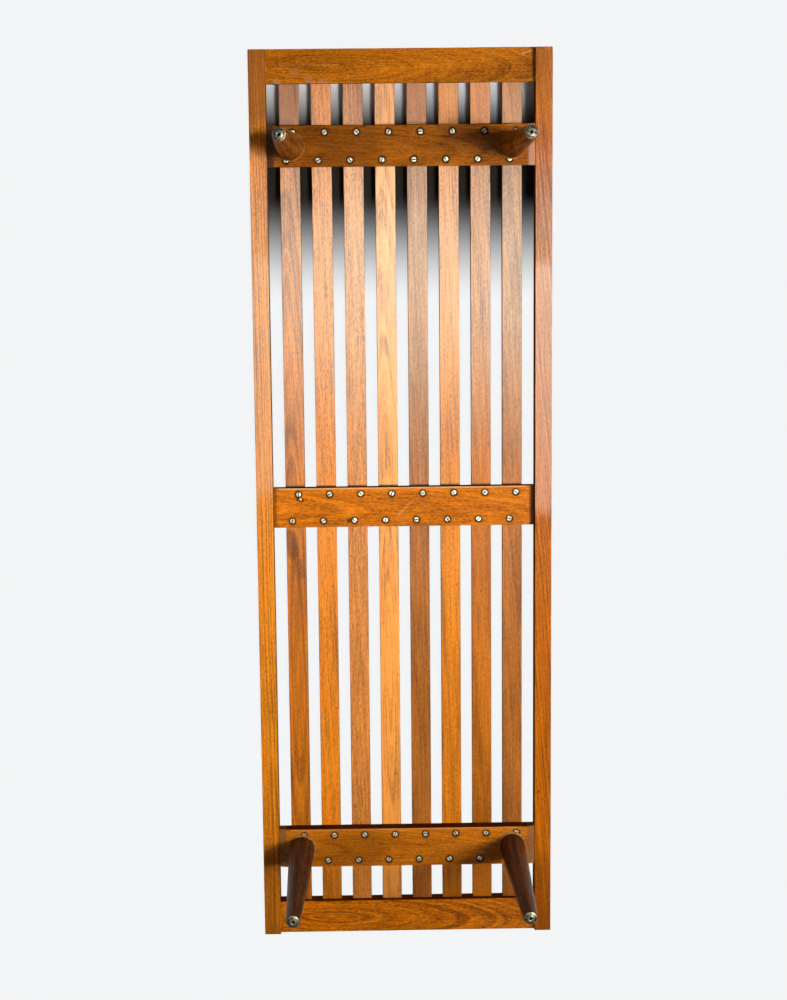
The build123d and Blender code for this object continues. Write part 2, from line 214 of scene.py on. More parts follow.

# Metal: stains, scratches and roughness, and where screws and glides are painted black as shade, with grime
# on the glides
STAINS = (0.44, 0.66)
SCRATCH_SCALE = (900, 5200, 900)
SCRATCH_DEPTH = 0.0001
ROUGH_STAINS = (0.3, 0.75)
STAIN_ROUGHER = 0.25
SCREW_RIM = (0.0033, 0.0039)
SCREW_SLOT_DEPTH = (0.00045, 0.0007)
GLIDE_DIMPLE = (0.0030, 0.0014)
GLIDE_GROOVE_IN = (0.0058, 0.0066)
GLIDE_GROOVE_OUT = (0.0084, 0.0074)
GLIDE_SCUFFS = (0.30, 0.62)
SCUFF_SCALE = 420.0

# Scratches, stains, darker patches and painted shade, shadows and sheen: a board, a line on X and Y, how
# wide, a tone and how strong
MARKS = [
    ("middle_batten", (-0.0160, -0.0095), (0.0055, 0.0121), 0.0026, (232, 176, 120), 0.19),
    ("middle_batten", (0.0110, -0.1610), (0.0085, -0.1560), 0.0046, (40, 20, 6), 0.9),
    ("middle_batten", (0.0102, -0.1583), (0.0100, -0.1576), 0.0022, (255, 190, 96), 1.0),
    ("middle_batten", (-0.0250, -0.0850), (-0.0235, -0.0835), 0.0040, (48, 24, 8), 0.8),
    ("middle_batten", (0.0264, -0.1900), (0.0264, 0.1850), 0.0018, (250, 196, 136), 0.4),
    ("foot_leg_batten", (-0.5126, -0.1800), (-0.5126, 0.1700), 0.0018, (220, 156, 92), 0.4),
    # Painted shadows of the side rails on the two ends of the middle batten
    ("middle_batten", (0.0300, 0.1980), (-0.0360, 0.1980), 0.0085, (20, 9, 3), 0.95),
    ("middle_batten", (0.0300, -0.2000), (-0.0360, -0.2000), 0.0080, (60, 28, 6), 0.6),
    ("slat_1", (-0.0480, -0.1760), (-0.0760, -0.1700), 0.0130, (62, 30, 10), 0.55),
    ("slat_1", (-0.0900, -0.1620), (-0.1100, -0.1580), 0.0080, (62, 30, 10), 0.4),
    # Painted shadows of the legs on the left parts of the leg battens
    ("head_leg_batten", (0.5450, -0.1300), (0.5400, -0.0600), 0.0450, (74, 38, 6), 0.35),
    ("foot_leg_batten", (-0.5500, -0.1200), (-0.5450, -0.0600), 0.0400, (84, 44, 4), 0.35),
    # Painted shadow of the head left leg on the head batten's left bevel
    ("head_leg_batten", (0.5700, -0.1950), (0.5150, -0.1950), 0.0090, (36, 22, 14), 0.6),
    # Painted sheen on the head batten's right bevel
    ("head_leg_batten", (0.5700, 0.1955), (0.5150, 0.1955), 0.0090, (222, 164, 128), 0.6),
    ("left_side_rail", (0.6840, -0.2130), (0.6100, -0.2130), 0.0450, (120, 60, 12), 0.6),
    ("left_side_rail", (-0.6840, -0.2130), (-0.5900, -0.2130), 0.0450, (112, 54, 2), 0.4),
    ("right_side_rail", (-0.6840, 0.2130), (-0.5900, 0.2130), 0.0450, (112, 54, 2), 0.25),
    ("head_end_rail", (0.6740, 0.1800), (0.6790, 0.1950), 0.0018, (226, 170, 112), 0.6),
    ("head_end_rail", (0.6610, -0.1820), (0.6600, -0.1350), 0.0012, (70, 34, 8), 0.6),
    ("head_end_rail", (0.6606, -0.1790), (0.6604, -0.0930), 0.0016, (226, 158, 92), 0.22),
    ("head_end_rail", (0.6500, -0.1560), (0.6505, -0.1560), 0.0070, (176, 112, 86), 0.45),
    ("head_end_rail", (0.6400, -0.1380), (0.6360, -0.1300), 0.0060, (196, 130, 98), 0.4),
    ("head_end_rail", (0.6360, -0.1110), (0.6370, -0.1180), 0.0060, (196, 130, 98), 0.35),
    ("head_end_rail", (0.6365, -0.1850), (0.6360, -0.1800), 0.0045, (206, 144, 108), 0.4),
    ("slat_1", (0.6200, -0.1659), (0.5850, -0.1659), 0.0450, (120, 70, 30), 0.4),
    ("slat_3", (0.6200, -0.0711), (0.5850, -0.0711), 0.0450, (150, 80, 20), 0.25),
    ("slat_6", (-0.6150, 0.0711), (-0.5850, 0.0711), 0.0400, (70, 30, 0), 0.3),
]

# Paler wood, painted light and painted sheen, which lighten what lies under them, listed in the same way
LIGHTER_MARKS = [
    # Painted light: brighter head ends on slats 5 to 8
    ("slat_5", (0.6200, 0.0237), (0.5850, 0.0237), 0.0450, (144, 77, 20), 0.8),
    ("slat_6", (0.6200, 0.0711), (0.5850, 0.0711), 0.0450, (190, 90, 20), 0.5),
    ("slat_7", (0.6200, 0.1185), (0.5850, 0.1185), 0.0450, (199, 101, 32), 0.8),
    ("slat_8", (0.6200, 0.1659), (0.5850, 0.1659), 0.0450, (189, 112, 60), 0.6),
    ("slat_3", (-0.6150, -0.0711), (-0.5850, -0.0711), 0.0400, (150, 70, 0), 0.7),
    # Painted sheen on the middles of the side rails
    ("left_side_rail", (0.3400, -0.2130), (0.0600, -0.2130), 0.0600, (112, 104, 96), 0.6),
    ("right_side_rail", (0.3300, 0.2130), (0.0220, 0.2130), 0.0500, (112, 104, 96), 1.0),
    ("right_side_rail", (0.6840, 0.2130), (0.6100, 0.2130), 0.0600, (126, 86, 45), 0.4),
]

# Marks: the share of a mark's width that has its full strength, and how ragged its edges are
MARK_CORE = 0.4
RAGGED_SCALE = 420.0
RAGGED_REACH = 0.0024

# Hanger bolt thread
THREAD_LEAD = 0.0254 / 18
THREAD_DEPTH = 0.0009
THREAD_SIDES = 24
THREAD_STEPS_PER_TURN = 8

# Camera: focal length in pixels of a 787 x 1000 picture, place and axes
PICTURE_HEIGHT = 1000
FOCAL_PIXELS = 2244.67
SENSOR = 36.0
CAMERA_PLACE = Vector((0.599685, -0.075369, -3.09673))
CAMERA_RIGHT = Vector((-0.00936977, 0.99977197, -0.01918885))
CAMERA_UP = Vector((0.98490168, 0.0125443, 0.17265956))

# Lamps: place, target, size along X and across it, power, spread in degrees, tint and what each lights
LAMPS = {
    "key": {
        "place": (0.15, 1.74, -3.28), "target": (0.09, 0.0, 0.28), "size": (1.45, 1.3),
        "power": 8.4, "spread": 26, "glossy": False,
    },
    "sheen": {
        "place": (0.17, 1.15, -2.05), "target": (0.0, 0.0, 0.28), "size": (0.45, 0.42),
        "power": 9.9, "spread": 50, "matt": False, "tint": (1.0, 1.0, 0.78),
    },
    "fill_left": {
        "place": (0.15, -1.0, -2.0), "target": (0.0, 0.0, 0.28), "size": (0.9, 0.5),
        "power": 1.0, "spread": 100,
    },
    "above": {
        "place": (-0.8, 0.0, 2.6), "target": (0.0, 0.0, 0.3), "size": (2.0, 0.8),
        "power": 46, "glossy": False,
    },
    "side_left": {
        "place": (0.3, -2.6, 1.0), "target": (0.0, 0.0, 0.25), "size": (1.6, 1.0),
        "power": 12,
    },
    "side_right": {
        "place": (-1.4, 1.9, 1.9), "target": (0.0, 0.0, 0.25), "size": (1.4, 1.2),
        "power": 22,
    },
    "side_head": {
        "place": (2.4, 0.9, 0.9), "target": (0.0, 0.0, 0.2), "size": (1.2, 1.0),
        "power": 12, "glossy": False,
    },
}

# Surroundings: their light, what the camera sees, and the heights between which reflections see it
WORLD_LIGHT = (0.95, 0.97, 1.0, 1.0)
WORLD_STRENGTH = 0.10
WORLD_SEEN = (0.90, 0.91, 0.92, 1.0)
HORIZON = (-0.1, 0.2)

# Stage: the floor's reach, tones and fading rim
FLOOR_REACH = 6.0
FLOOR_TONES = ((231, 231, 229), (240, 240, 238))
FLOOR_RIM = (0.8, 2.4)

# Stage: the shade behind the head end's gaps and the dark card under it, with their reach, their depth
# below the seat, their tones, where the shade turns dark along X, and where both end
SHADE_REACH = 2.5
SHADE_DEPTH = 0.0005
CARD_DEPTH = 0.001
SHADE_LIGHT = (236, 236, 236)
SHADE_DARK = (34, 30, 27)
CARD_TONE = (4, 4, 4)
SHADE_TURN = (0.66, 0.56)
SHADE_SIDES = (0.205, 0.212)
SHADE_HEAD = (0.660, 0.667)
SHADE_FOOT = (0.47, 0.30)


def linear(tone):
    """An sRGB tone of 0 to 255 as a linear colour with alpha."""
    channels = []
    for value in tone:
        share = value / 255
        channels.append(share / 12.92 if share <= 0.04045 else ((share + 0.055) / 1.055) ** 2.4)
    return (*channels, 1.0)


def shaded(tone, factor):
    """A tone made darker and redder, or lighter and paler, by a factor of its linear light."""
    red, green, blue, _ = linear(tone)
    factor = min(factor, 1.0 / red)
    return (red * factor, green * factor ** GREEN_POWER, blue * factor ** BLUE_POWER, 1.0)


def middle(node):
    """The middle of a node's box."""
    low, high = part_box(node)
    return (low + high) / 2


class Shader:
    """A material's node tree, built by short calls."""

    def __init__(self, name):
        self.material = bpy.data.materials.new(name)
        self.material.use_nodes = True
        self.tree = self.material.node_tree
        self.surface = self.tree.nodes["Principled BSDF"]
        self.output = self.tree.nodes["Material Output"]

    def feed(self, socket, value):
        """Links a socket to another, or sets its value."""
        if isinstance(value, bpy.types.NodeSocket):
            self.tree.links.new(value, socket)
        else:
            socket.default_value = value

    def node(self, kind, inputs, **settings):
        """Adds a node, sets it up and feeds its inputs by name or number."""
        node = self.tree.nodes.new("ShaderNode" + kind)
        for key, value in settings.items():
            setattr(node, key, value)
        for key, value in inputs.items():
            self.feed(node.inputs[key], value)
        return node

    def set(self, **values):
        """Sets or links the surface's sockets; an underscore in a name stands for a space."""
        for key, value in values.items():
            self.feed(self.surface.inputs[key.replace("_", " ")], value)

    def math(self, operation, *values):
        """One number from others."""
        return self.node("Math", dict(enumerate(values)), operation=operation).outputs[0]

    def vector(self, operation, *values):
        """A vector, or a number where the operation gives one, from vectors."""
        node = self.node("VectorMath", dict(enumerate(values)), operation=operation)
        return node.outputs["Value" if operation in ("LENGTH", "DISTANCE", "DOT_PRODUCT") else "Vector"]

    def split(self, vector):
        """A vector's three numbers."""
        node = self.node("SeparateXYZ", {"Vector": vector})
        return node.outputs["X"], node.outputs["Y"], node.outputs["Z"]

    def join(self, x, y, z):
        """A vector from three numbers."""
        return self.node("CombineXYZ", {"X": x, "Y": y, "Z": z}).outputs["Vector"]

    def place(self):
        """A point's place in its object, which is its place in the bench at rest."""
        return self.node("TexCoord", {}).outputs["Object"]

    def facing(self):
        """The way a point's surface faces in its object."""
        return self.node("TexCoord", {}).outputs["Normal"]

    def noise(self, vector, scale=1.0, detail=2.0, roughness=0.5):
        """Soft noise from 0 to 1."""
        inputs = {"Vector": vector, "Scale": scale, "Detail": detail, "Roughness": roughness}
        return self.node("TexNoise", inputs).outputs["Fac"]

    def lines(self, along, detail=2.0, roughness=0.5):
        """Noise along one number, for growth rings of uneven width."""
        inputs = {"W": along, "Scale": 1.0, "Detail": detail, "Roughness": roughness}
        return self.node("TexNoise", inputs, noise_dimensions="1D").outputs["Fac"]

    def step(self, value, start, end, low=0.0, high=1.0):
        """A smooth step from low at start to high at end."""
        inputs = {"Value": value, "From Min": start, "From Max": end, "To Min": low, "To Max": high}
        return self.node("MapRange", inputs, interpolation_type="SMOOTHSTEP").outputs[0]

    def mix(self, factor, first, second, blend="MIX"):
        """A second colour laid over a first; inputs 6 and 7 and output 2 are the node's colours."""
        node = self.node("Mix", {0: factor, 6: first, 7: second}, data_type="RGBA", blend_type=blend)
        return node.outputs[2]

    def ramp(self, value, stops):
        """A colour by a number, between stops of a position and a colour."""
        node = self.node("ValToRGB", {"Fac": value})
        elements = node.color_ramp.elements
        while len(elements) < len(stops):
            elements.new(0.5)
        for element, (position, colour) in zip(elements, stops):
            element.position = position
            element.color = colour
        return node.outputs["Color"]

    def bump(self, height, strength, distance):
        """A surface's relief."""
        inputs = {"Height": height, "Strength": strength, "Distance": distance}
        return self.node("Bump", inputs).outputs["Normal"]

    def near_segment(self, point, start, end, width, ragged):
        """One near the straight line between two points on X and Y, zero away from it."""
        start, end = Vector((*start, 0)), Vector((*end, 0))
        run = end - start
        x, y, _ = self.split(point)
        flat = self.vector("SUBTRACT", self.join(x, y, 0.0), tuple(start))
        along = self.math("DIVIDE", self.vector("DOT_PRODUCT", flat, tuple(run)), run.length_squared)
        along = self.node("Clamp", {"Value": along}).outputs[0]
        foot = self.node("VectorMath", {0: tuple(run), "Scale": along}, operation="SCALE").outputs[0]
        distance = self.math("ADD", self.vector("DISTANCE", flat, foot), ragged)
        return self.step(distance, width, width * MARK_CORE)


def grain_frame(shader, grain, origin, lean=(0.0, 0.0)):
    """A point's place from an origin, its first number along the grain; a lean is that of Z grain."""
    offset = shader.vector("SUBTRACT", shader.place(), tuple(origin))
    x, y, z = shader.split(offset)
    if grain == "X":
        return shader.join(x, y, z)
    if grain == "Y":
        return shader.join(y, x, z)
    across = shader.math("SUBTRACT", x, shader.math("MULTIPLY", z, lean[0]))
    depth = shader.math("SUBTRACT", y, shader.math("MULTIPLY", z, lean[1]))
    return shader.join(z, across, depth)


def stretched(shader, vector, along, across, seed):
    """Coordinates for noise whose marks run along the grain, moved by a seed."""
    scaled = shader.vector("MULTIPLY", vector, (along, across, across))
    return shader.vector("ADD", scaled, tuple(seed * shift for shift in SEED_SHIFT))


def edge_distance(shader, low, high):
    """How far a point on a board lies from the board's nearest edge."""
    centre, half = (low + high) / 2, (high - low) / 2
    offset = shader.vector("ABSOLUTE", shader.vector("SUBTRACT", shader.place(), tuple(centre)))
    x, y, z = shader.split(shader.vector("SUBTRACT", tuple(half), offset))
    lesser = shader.math("MINIMUM", x, y)
    greater = shader.math("MAXIMUM", x, y)
    return shader.math("MAXIMUM", lesser, shader.math("MINIMUM", greater, z))


def wood(shader, vector, tone, seed, figure=1.0, flecks=1.0, clouds=0.8, cloud_scale=CLOUD_SCALE,
         pith=(0.05, 0.06), tilt=(0.02, 0.03)):
    """Colour, height and streaks of stained wood whose grain runs along the vector's X."""
    along, across, depth = shader.split(vector)
    drift = shader.math("SUBTRACT", shader.noise(stretched(shader, vector, *DRIFT_SCALE, seed)), 0.5)
    from_pith = [
        shader.math("ADD", part, shader.math("MULTIPLY_ADD", along, slope, offset))
        for part, slope, offset in zip((across, depth), tilt, pith)
    ]
    ring = shader.vector("LENGTH", shader.join(*from_pith, 0.0))
    ring = shader.math("MULTIPLY_ADD", drift, RING_DRIFT, ring)
    rings = shader.lines(shader.math("MULTIPLY_ADD", ring, RINGS_PER_METRE, seed), detail=3.0, roughness=0.6)
    streaks = shader.noise(stretched(shader, vector, *STREAK_SCALE, seed), detail=4.0, roughness=0.65)
    fleck = shader.noise(stretched(shader, vector, *FLECK_SCALE, seed + FLECK_SEED), detail=1.0)
    cloud = shader.noise(stretched(shader, vector, *cloud_scale, seed + CLOUD_SEED), detail=3.0)
    parts = [
        (rings, RING_WEIGHT * figure),
        (streaks, STREAK_WEIGHT),
        (fleck, FLECK_WEIGHT * flecks),
        (cloud, clouds),
    ]
    level = 0.5 - sum(weight for _, weight in parts) / 2
    for part, weight in parts:
        level = shader.math("MULTIPLY_ADD", part, weight, level)
    colour = shader.ramp(level, [(position, shaded(tone, factor)) for position, factor in WOOD_RAMP])
    pore = shader.noise(stretched(shader, vector, *PORE_SCALE, seed + PORE_SEED), detail=1.0)
    pore = shader.step(pore, *PORES)
    colour = shader.mix(shader.math("MULTIPLY", pore, PORE_WEIGHT * flecks), colour, shaded(tone, PORE_SHADE))
    height = shader.math("MULTIPLY_ADD", pore, -PORE_DEPTH, streaks)
    return colour, height, streaks


def satin(shader, colour, height, streaks, axis, roughness=0.42, drawn=0.97, gloss=0.5, matt=None):
    """A worn satin lacquer over wood, whose fibres draw the highlight out across the grain."""
    tangent = shader.node("Tangent", {}, direction_type="RADIAL", axis=axis).outputs["Tangent"]
    dark, pale = roughness + DARK_STREAK_ROUGHER, roughness - PALE_STREAK_SMOOTHER
    rough = shader.step(streaks, *STREAK_RANGE, dark, pale)
    if matt is not None:
        rough = shader.math("MAXIMUM", rough, shader.math("MULTIPLY", matt, MATT_ROUGHNESS))
    shader.set(
        Base_Color=colour,
        Roughness=rough,
        Normal=shader.bump(height, RELIEF_STRENGTH, RELIEF_DEPTH),
        Tangent=tangent,
        Anisotropic=drawn,
        Specular_IOR_Level=gloss,
    )
    return shader.material


def worn(shader, colour, tone, edge, vector, seed):
    """Pale rubbed edges, a dark line beside them and scattered specks."""
    patches = shader.noise(stretched(shader, vector, *PATCH_SCALE, seed + PATCH_SEED), detail=3.0)
    rubbed = shader.math("MULTIPLY", shader.step(edge, *RUBBED_EDGE), shader.step(patches, *RUBBED_PATCHES))
    rubbed = shader.math("MULTIPLY", rubbed, RUBBED_STRENGTH)
    colour = shader.mix(rubbed, colour, shaded(tone, RUBBED_SHADE))
    darkening = shader.math("MULTIPLY", shader.step(edge, *GRIMY_EDGE), shader.step(patches, *GRIMY_PATCHES))
    darkening = shader.math("MULTIPLY", darkening, GRIMY_STRENGTH)
    colour = shader.mix(darkening, colour, shaded(tone, GRIMY_SHADE))
    specks = shader.noise(stretched(shader, vector, *SPECK_SCALE, seed + SPECK_SEED), detail=1.0)
    specks = shader.step(specks, *SPECKS, 0.0, SPECK_STRENGTH)
    return shader.mix(specks, colour, shaded(tone, SPECK_SHADE))


def side_mask(shader, low, high, axis, rim):
    """One on a board's faces across an axis, but on the inner one only where the board is at the rim."""
    centre = (low[axis] + high[axis]) / 2
    half = (high[axis] - low[axis]) / 2
    offset = shader.math("SUBTRACT", shader.split(shader.place())[axis], centre)
    inward = shader.math("MULTIPLY", offset, -1.0 if centre > 0 else 1.0)
    reach = inward if rim else shader.math("ABSOLUTE", offset)
    return shader.step(reach, *(half - skin for skin in SIDE_SKIN))


def underside(shader):
    """One on the faces that look down."""
    return shader.step(shader.split(shader.facing())[2], *DOWNWARD)


def slat_details(shader, node, colour, tone):
    """Darker wood under the foot end of a slat, and a line of painted shade along the middle batten."""
    x = shader.split(shader.place())[0]
    down = underside(shader)
    stain = shader.step(x, *FOOT_END_REACH, 0.0, FOOT_END_STRENGTH)
    colour = shader.mix(shader.math("MULTIPLY", stain, down), colour, linear(FOOT_END_TONE))
    # Painted shade: a dark line on the slats beside the middle batten, for the batten's shaded side and its
    # shadow
    beside = shader.math("SUBTRACT", x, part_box("middle_batten")[1].x)
    batten_shade = shader.step(beside, *BATTEN_SHADE_END, 0.0, BATTEN_SHADE_STRENGTH)
    batten_shade = shader.math("MULTIPLY", batten_shade, shader.step(beside, *BATTEN_SHADE_START))
    return shader.mix(shader.math("MULTIPLY", batten_shade, down), colour, linear(BATTEN_SHADE_TONE))


def screw_distance(shader, batten):
    """How far a point lies from the axis of the nearest screw in a batten's two staggered rows."""
    first, second = middle(SLATS[0]), middle(SLATS[1])
    pitch = second.y - first.y
    x, y, _ = shader.split(shader.place())
    low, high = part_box(batten)
    across = shader.math("SUBTRACT", x, (low.x + high.x) / 2)
    row = shader.math("SUBTRACT", shader.math("ABSOLUTE", across), SCREW_ROW)
    shifted = shader.math("MULTIPLY_ADD", shader.math("SIGN", across), -SCREW_STAGGER, y)
    turn = shader.math("DIVIDE", shader.math("SUBTRACT", shifted, first.y - pitch / 2), pitch)
    offset = shader.math("MULTIPLY", shader.math("SUBTRACT", shader.math("FRACT", turn), 0.5), pitch)
    return shader.vector("LENGTH", shader.join(row, offset, 0.0))


def batten_details(shader, node, colour, tone):
    """Countersinks painted dark as shade, stain round the screws of a batten, and bare bevels at its ends."""
    smudge = shader.noise(shader.place(), scale=SMUDGE_SCALE)
    if node != "middle_batten":
        y = shader.split(shader.place())[1]
        inward = shader.math("SUBTRACT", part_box(node)[1].y, shader.math("ABSOLUTE", y))
        inward = shader.math("MULTIPLY_ADD", smudge, BEVEL_BLUR, inward)
        bare = shader.step(inward, BEVEL_WIDTH + BEVEL_BLUR, BEVEL_WIDTH)
        colour = shader.mix(shader.math("MULTIPLY", bare, BEVEL_STRENGTH), colour, linear(BEVEL_TONE))
    distance = screw_distance(shader, node)
    reach = shader.math("MULTIPLY_ADD", smudge, -SCREW_STAIN_RAGGED, distance)
    stain = shader.step(reach, *SCREW_STAIN, 0.0, SCREW_STAIN_STRENGTH)
    colour = shader.mix(stain, colour, shaded(tone, SCREW_STAIN_SHADE))
    # Painted shade in the countersink round each screw
    ring = shader.step(distance, COUNTERSINK_RADIUS + COUNTERSINK_BLUR, COUNTERSINK_RADIUS)
    return shader.mix(ring, colour, shaded(tone, COUNTERSINK_SHADE))


def marked(shader, node, colour):
    """The scratches, stains, darker and paler patches, and painted shade, light and sheen listed for a board,
    on its underside.
    """
    down = underside(shader)
    ragged = shader.noise(shader.place(), scale=RAGGED_SCALE)
    ragged = shader.math("MULTIPLY_ADD", ragged, RAGGED_REACH, -RAGGED_REACH / 2)
    for marks, blend in ((MARKS, "MIX"), (LIGHTER_MARKS, "SCREEN")):
        for name, start, end, width, tone, strength in marks:
            if name == node:
                near = shader.near_segment(shader.place(), start, end, width, ragged)
                share = shader.math("MULTIPLY", shader.math("MULTIPLY", near, down), strength)
                colour = shader.mix(share, colour, linear(tone), blend)
    return colour


def dress(node, material):
    """Puts a material on every face of a node."""
    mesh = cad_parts[node].data
    mesh.materials.clear()
    mesh.materials.append(material)


def board(node, grain, tone, seed, details=None, gloss=0.5, head_gloss=None, **figure):
    """Dresses a straight board of the frame in stained, lacquered wood."""
    low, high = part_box(node)
    shader = Shader(node + "_wood")
    vector = grain_frame(shader, grain, (low + high) / 2)
    colour, height, streaks = wood(shader, vector, tone, seed, **figure)
    colour = worn(shader, colour, tone, edge_distance(shader, low, high), vector, seed)
    # Faces across the grain, on rails the inner ones only, are painted dark, mostly as the shade between
    # parts and partly as stain, darkest on the middle batten, and made matt
    sides = side_mask(shader, low, high, 1 if grain == "X" else 0, node in SIDE_RAILS + END_RAILS)
    side_shade = MIDDLE_BATTEN_SIDE_SHADE if node == "middle_batten" else SIDE_SHADE
    colour = shader.mix(sides, colour, shaded(tone, side_shade))
    if details:
        colour = details(shader, node, colour, tone)
    colour = marked(shader, node, colour)
    if head_gloss is not None:
        gloss = shader.step(shader.split(shader.place())[0], *HEAD_STRETCH, gloss, head_gloss)
    shine = shader.step(sides, 0.0, 1.0, gloss, 0.0)
    dress(node, satin(shader, colour, height, streaks, grain, gloss=shine, matt=sides))


def slat_look(number, node):
    """How a slat is cut: figured ones near the pith, the others further out by turns."""
    flecks = SMOOTH_FLECKS if node in SMOOTH_SLATS else SLAT_FLECKS
    if node in FIGURED_SLATS:
        return {**FIGURED_SLAT_LOOK, "flecks": flecks}
    pith = (
        PLAIN_SLAT_PITH[0] + PLAIN_SLAT_PITH_STEP[0] * (number % 3),
        PLAIN_SLAT_PITH[1] + PLAIN_SLAT_PITH_STEP[1] * (number % 4),
    )
    return {"figure": PLAIN_SLAT_FIGURE, "pith": pith, "flecks": flecks}


def dress_frame():
    """Rails, slats and battens."""
    for number, node in enumerate(SIDE_RAILS):
        seed = RAIL_SEED + SEED_STEP * number
        board(node, "X", RAIL_TONES[node], seed, tilt=RAIL_TILTS[node], **RAIL_LOOK)
    for number, node in enumerate(END_RAILS):
        seed = END_RAIL_SEED + SEED_STEP * number
        board(node, "Y", END_RAIL_TONES[node], seed, **END_RAIL_LOOK, **END_RAIL_FIGURES[node])
    for number, node in enumerate(SLATS):
        seed = SLAT_SEED + SLAT_SEED_STEP * number
        board(node, "X", SLAT_TONES[node], seed, details=slat_details, **slat_look(number, node))
    for number, node in enumerate(BATTENS):
        seed = BATTEN_SEED + SEED_STEP * number
        board(node, "Y", BATTEN_TONES[node], seed, details=batten_details, **BATTEN_LOOK)


def dress_legs():
    """Turned legs of darker wood, with a pale rubbed lip at the top."""
    for number, corner in enumerate(CORNERS):
        end = corner.split("_")[0]
        bolt, foot = middle(corner + "_hanger_bolt"), middle(corner + "_glide")
        top = Vector((bolt.x, bolt.y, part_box(corner + "_leg")[1].z))
        drop = top.z - foot.z
        lean = ((top.x - foot.x) / drop, (top.y - foot.y) / drop)
        shader = Shader(corner + "_leg_wood")
        vector = grain_frame(shader, "Z", top, lean)
        seed = LEG_SEED + LEG_SEED_STEP * number
        colour, height, streaks = wood(shader, vector, LEG_TONES[end], seed, **LEG_LOOK)
        below_top = shader.math("SUBTRACT", top.z, shader.split(shader.place())[2])
        patches = shader.step(shader.noise(shader.place(), scale=LIP_PATCH_SCALE), *LIP_PATCHES)
        rubbed = shader.math("MULTIPLY", shader.step(below_top, *LIP_DEPTH), patches)
        rubbed = shader.math("MULTIPLY", rubbed, LIP_WEAR[end])
        colour = shader.mix(rubbed, colour, linear(LIP_TONE))
        leg = satin(shader, colour, height, streaks, "Z", drawn=0.0, gloss=LEG_GLOSS[end])
        dress(corner + "_leg", leg)


def metal(name, tones, roughness, stain_scale, bump=0.15, metallic=1.0, darkening=None):
    """Metal with stains and fine scratches; darkening gives where it is blackened with painted shade and
    grime.
    """
    clean, stained = tones
    shader = Shader(name)
    point = shader.place()
    stains = shader.noise(point, scale=stain_scale, detail=4.0, roughness=0.65)
    scratches = shader.noise(shader.vector("MULTIPLY", point, SCRATCH_SCALE))
    colour = shader.mix(shader.step(stains, *STAINS), linear(clean), linear(stained))
    if darkening:
        colour = shader.mix(darkening(shader), colour, linear(SHADE_AND_GRIME_TONE))
    shader.set(
        Base_Color=colour,
        Metallic=metallic,
        Roughness=shader.step(stains, *ROUGH_STAINS, roughness, roughness + STAIN_ROUGHER),
        Normal=shader.bump(scratches, bump, SCRATCH_DEPTH),
    )
    return shader.material


def screw_shade(shader, batten):
    """Painted shade, black, in the slots and at the rims of a batten's screws."""
    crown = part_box(batten + "_screws")[0].z
    depth = shader.math("SUBTRACT", shader.split(shader.place())[2], crown)
    rim = shader.step(screw_distance(shader, batten), *SCREW_RIM)
    return shader.math("MAXIMUM", shader.step(depth, *SCREW_SLOT_DEPTH), rim)


def dress_screws():
    """Dull nickel wood screws."""
    for batten in BATTENS:
        darkening = partial(screw_shade, batten=batten)
        nickel = metal(batten + "_nickel", NICKEL, roughness=0.42, stain_scale=260, metallic=0.8, darkening=darkening)
        dress(batten + "_screws", nickel)


def glide_shade_and_grime(shader, glide):
    """Black in a glide's dimple as painted shade, and in patches of the groove round its dome as grime and
    shade.
    """
    x, y, _ = shader.split(shader.vector("SUBTRACT", shader.place(), tuple(middle(glide))))
    out = shader.vector("LENGTH", shader.join(x, y, 0.0))
    dimple = shader.step(out, *GLIDE_DIMPLE)
    groove = shader.math("MULTIPLY", shader.step(out, *GLIDE_GROOVE_IN), shader.step(out, *GLIDE_GROOVE_OUT))
    scuffs = shader.noise(shader.place(), scale=SCUFF_SCALE, detail=3.0, roughness=0.7)
    groove = shader.math("MULTIPLY", groove, shader.step(scuffs, *GLIDE_SCUFFS))
    return shader.math("MAXIMUM", dimple, groove)


def dress_glides():
    """Steel glides, scuffed bright on the dome."""
    for corner in CORNERS:
        glide = corner + "_glide"
        darkening = partial(glide_shade_and_grime, glide=glide)
        steel = metal(glide + "_steel", GLIDE_STEEL, roughness=0.42, stain_scale=330, bump=0.4, darkening=darkening)
        dress(glide, steel)


def dress_hidden():
    """Brass inserts and bare dowel pins inside the frame."""
    dress("threaded_inserts", metal("insert_brass", BRASS, roughness=0.34, stain_scale=300))
    for node in ("corner_dowels", "batten_dowels"):
        shader = Shader(node + "_wood")
        vector = grain_frame(shader, "Y", (0, 0, 0))
        colour, height, streaks = wood(shader, vector, DOWEL_TONE, DOWEL_SEED)
        dress(node, satin(shader, colour, height, streaks, "Y", roughness=0.6, drawn=0.0, gloss=0.2))


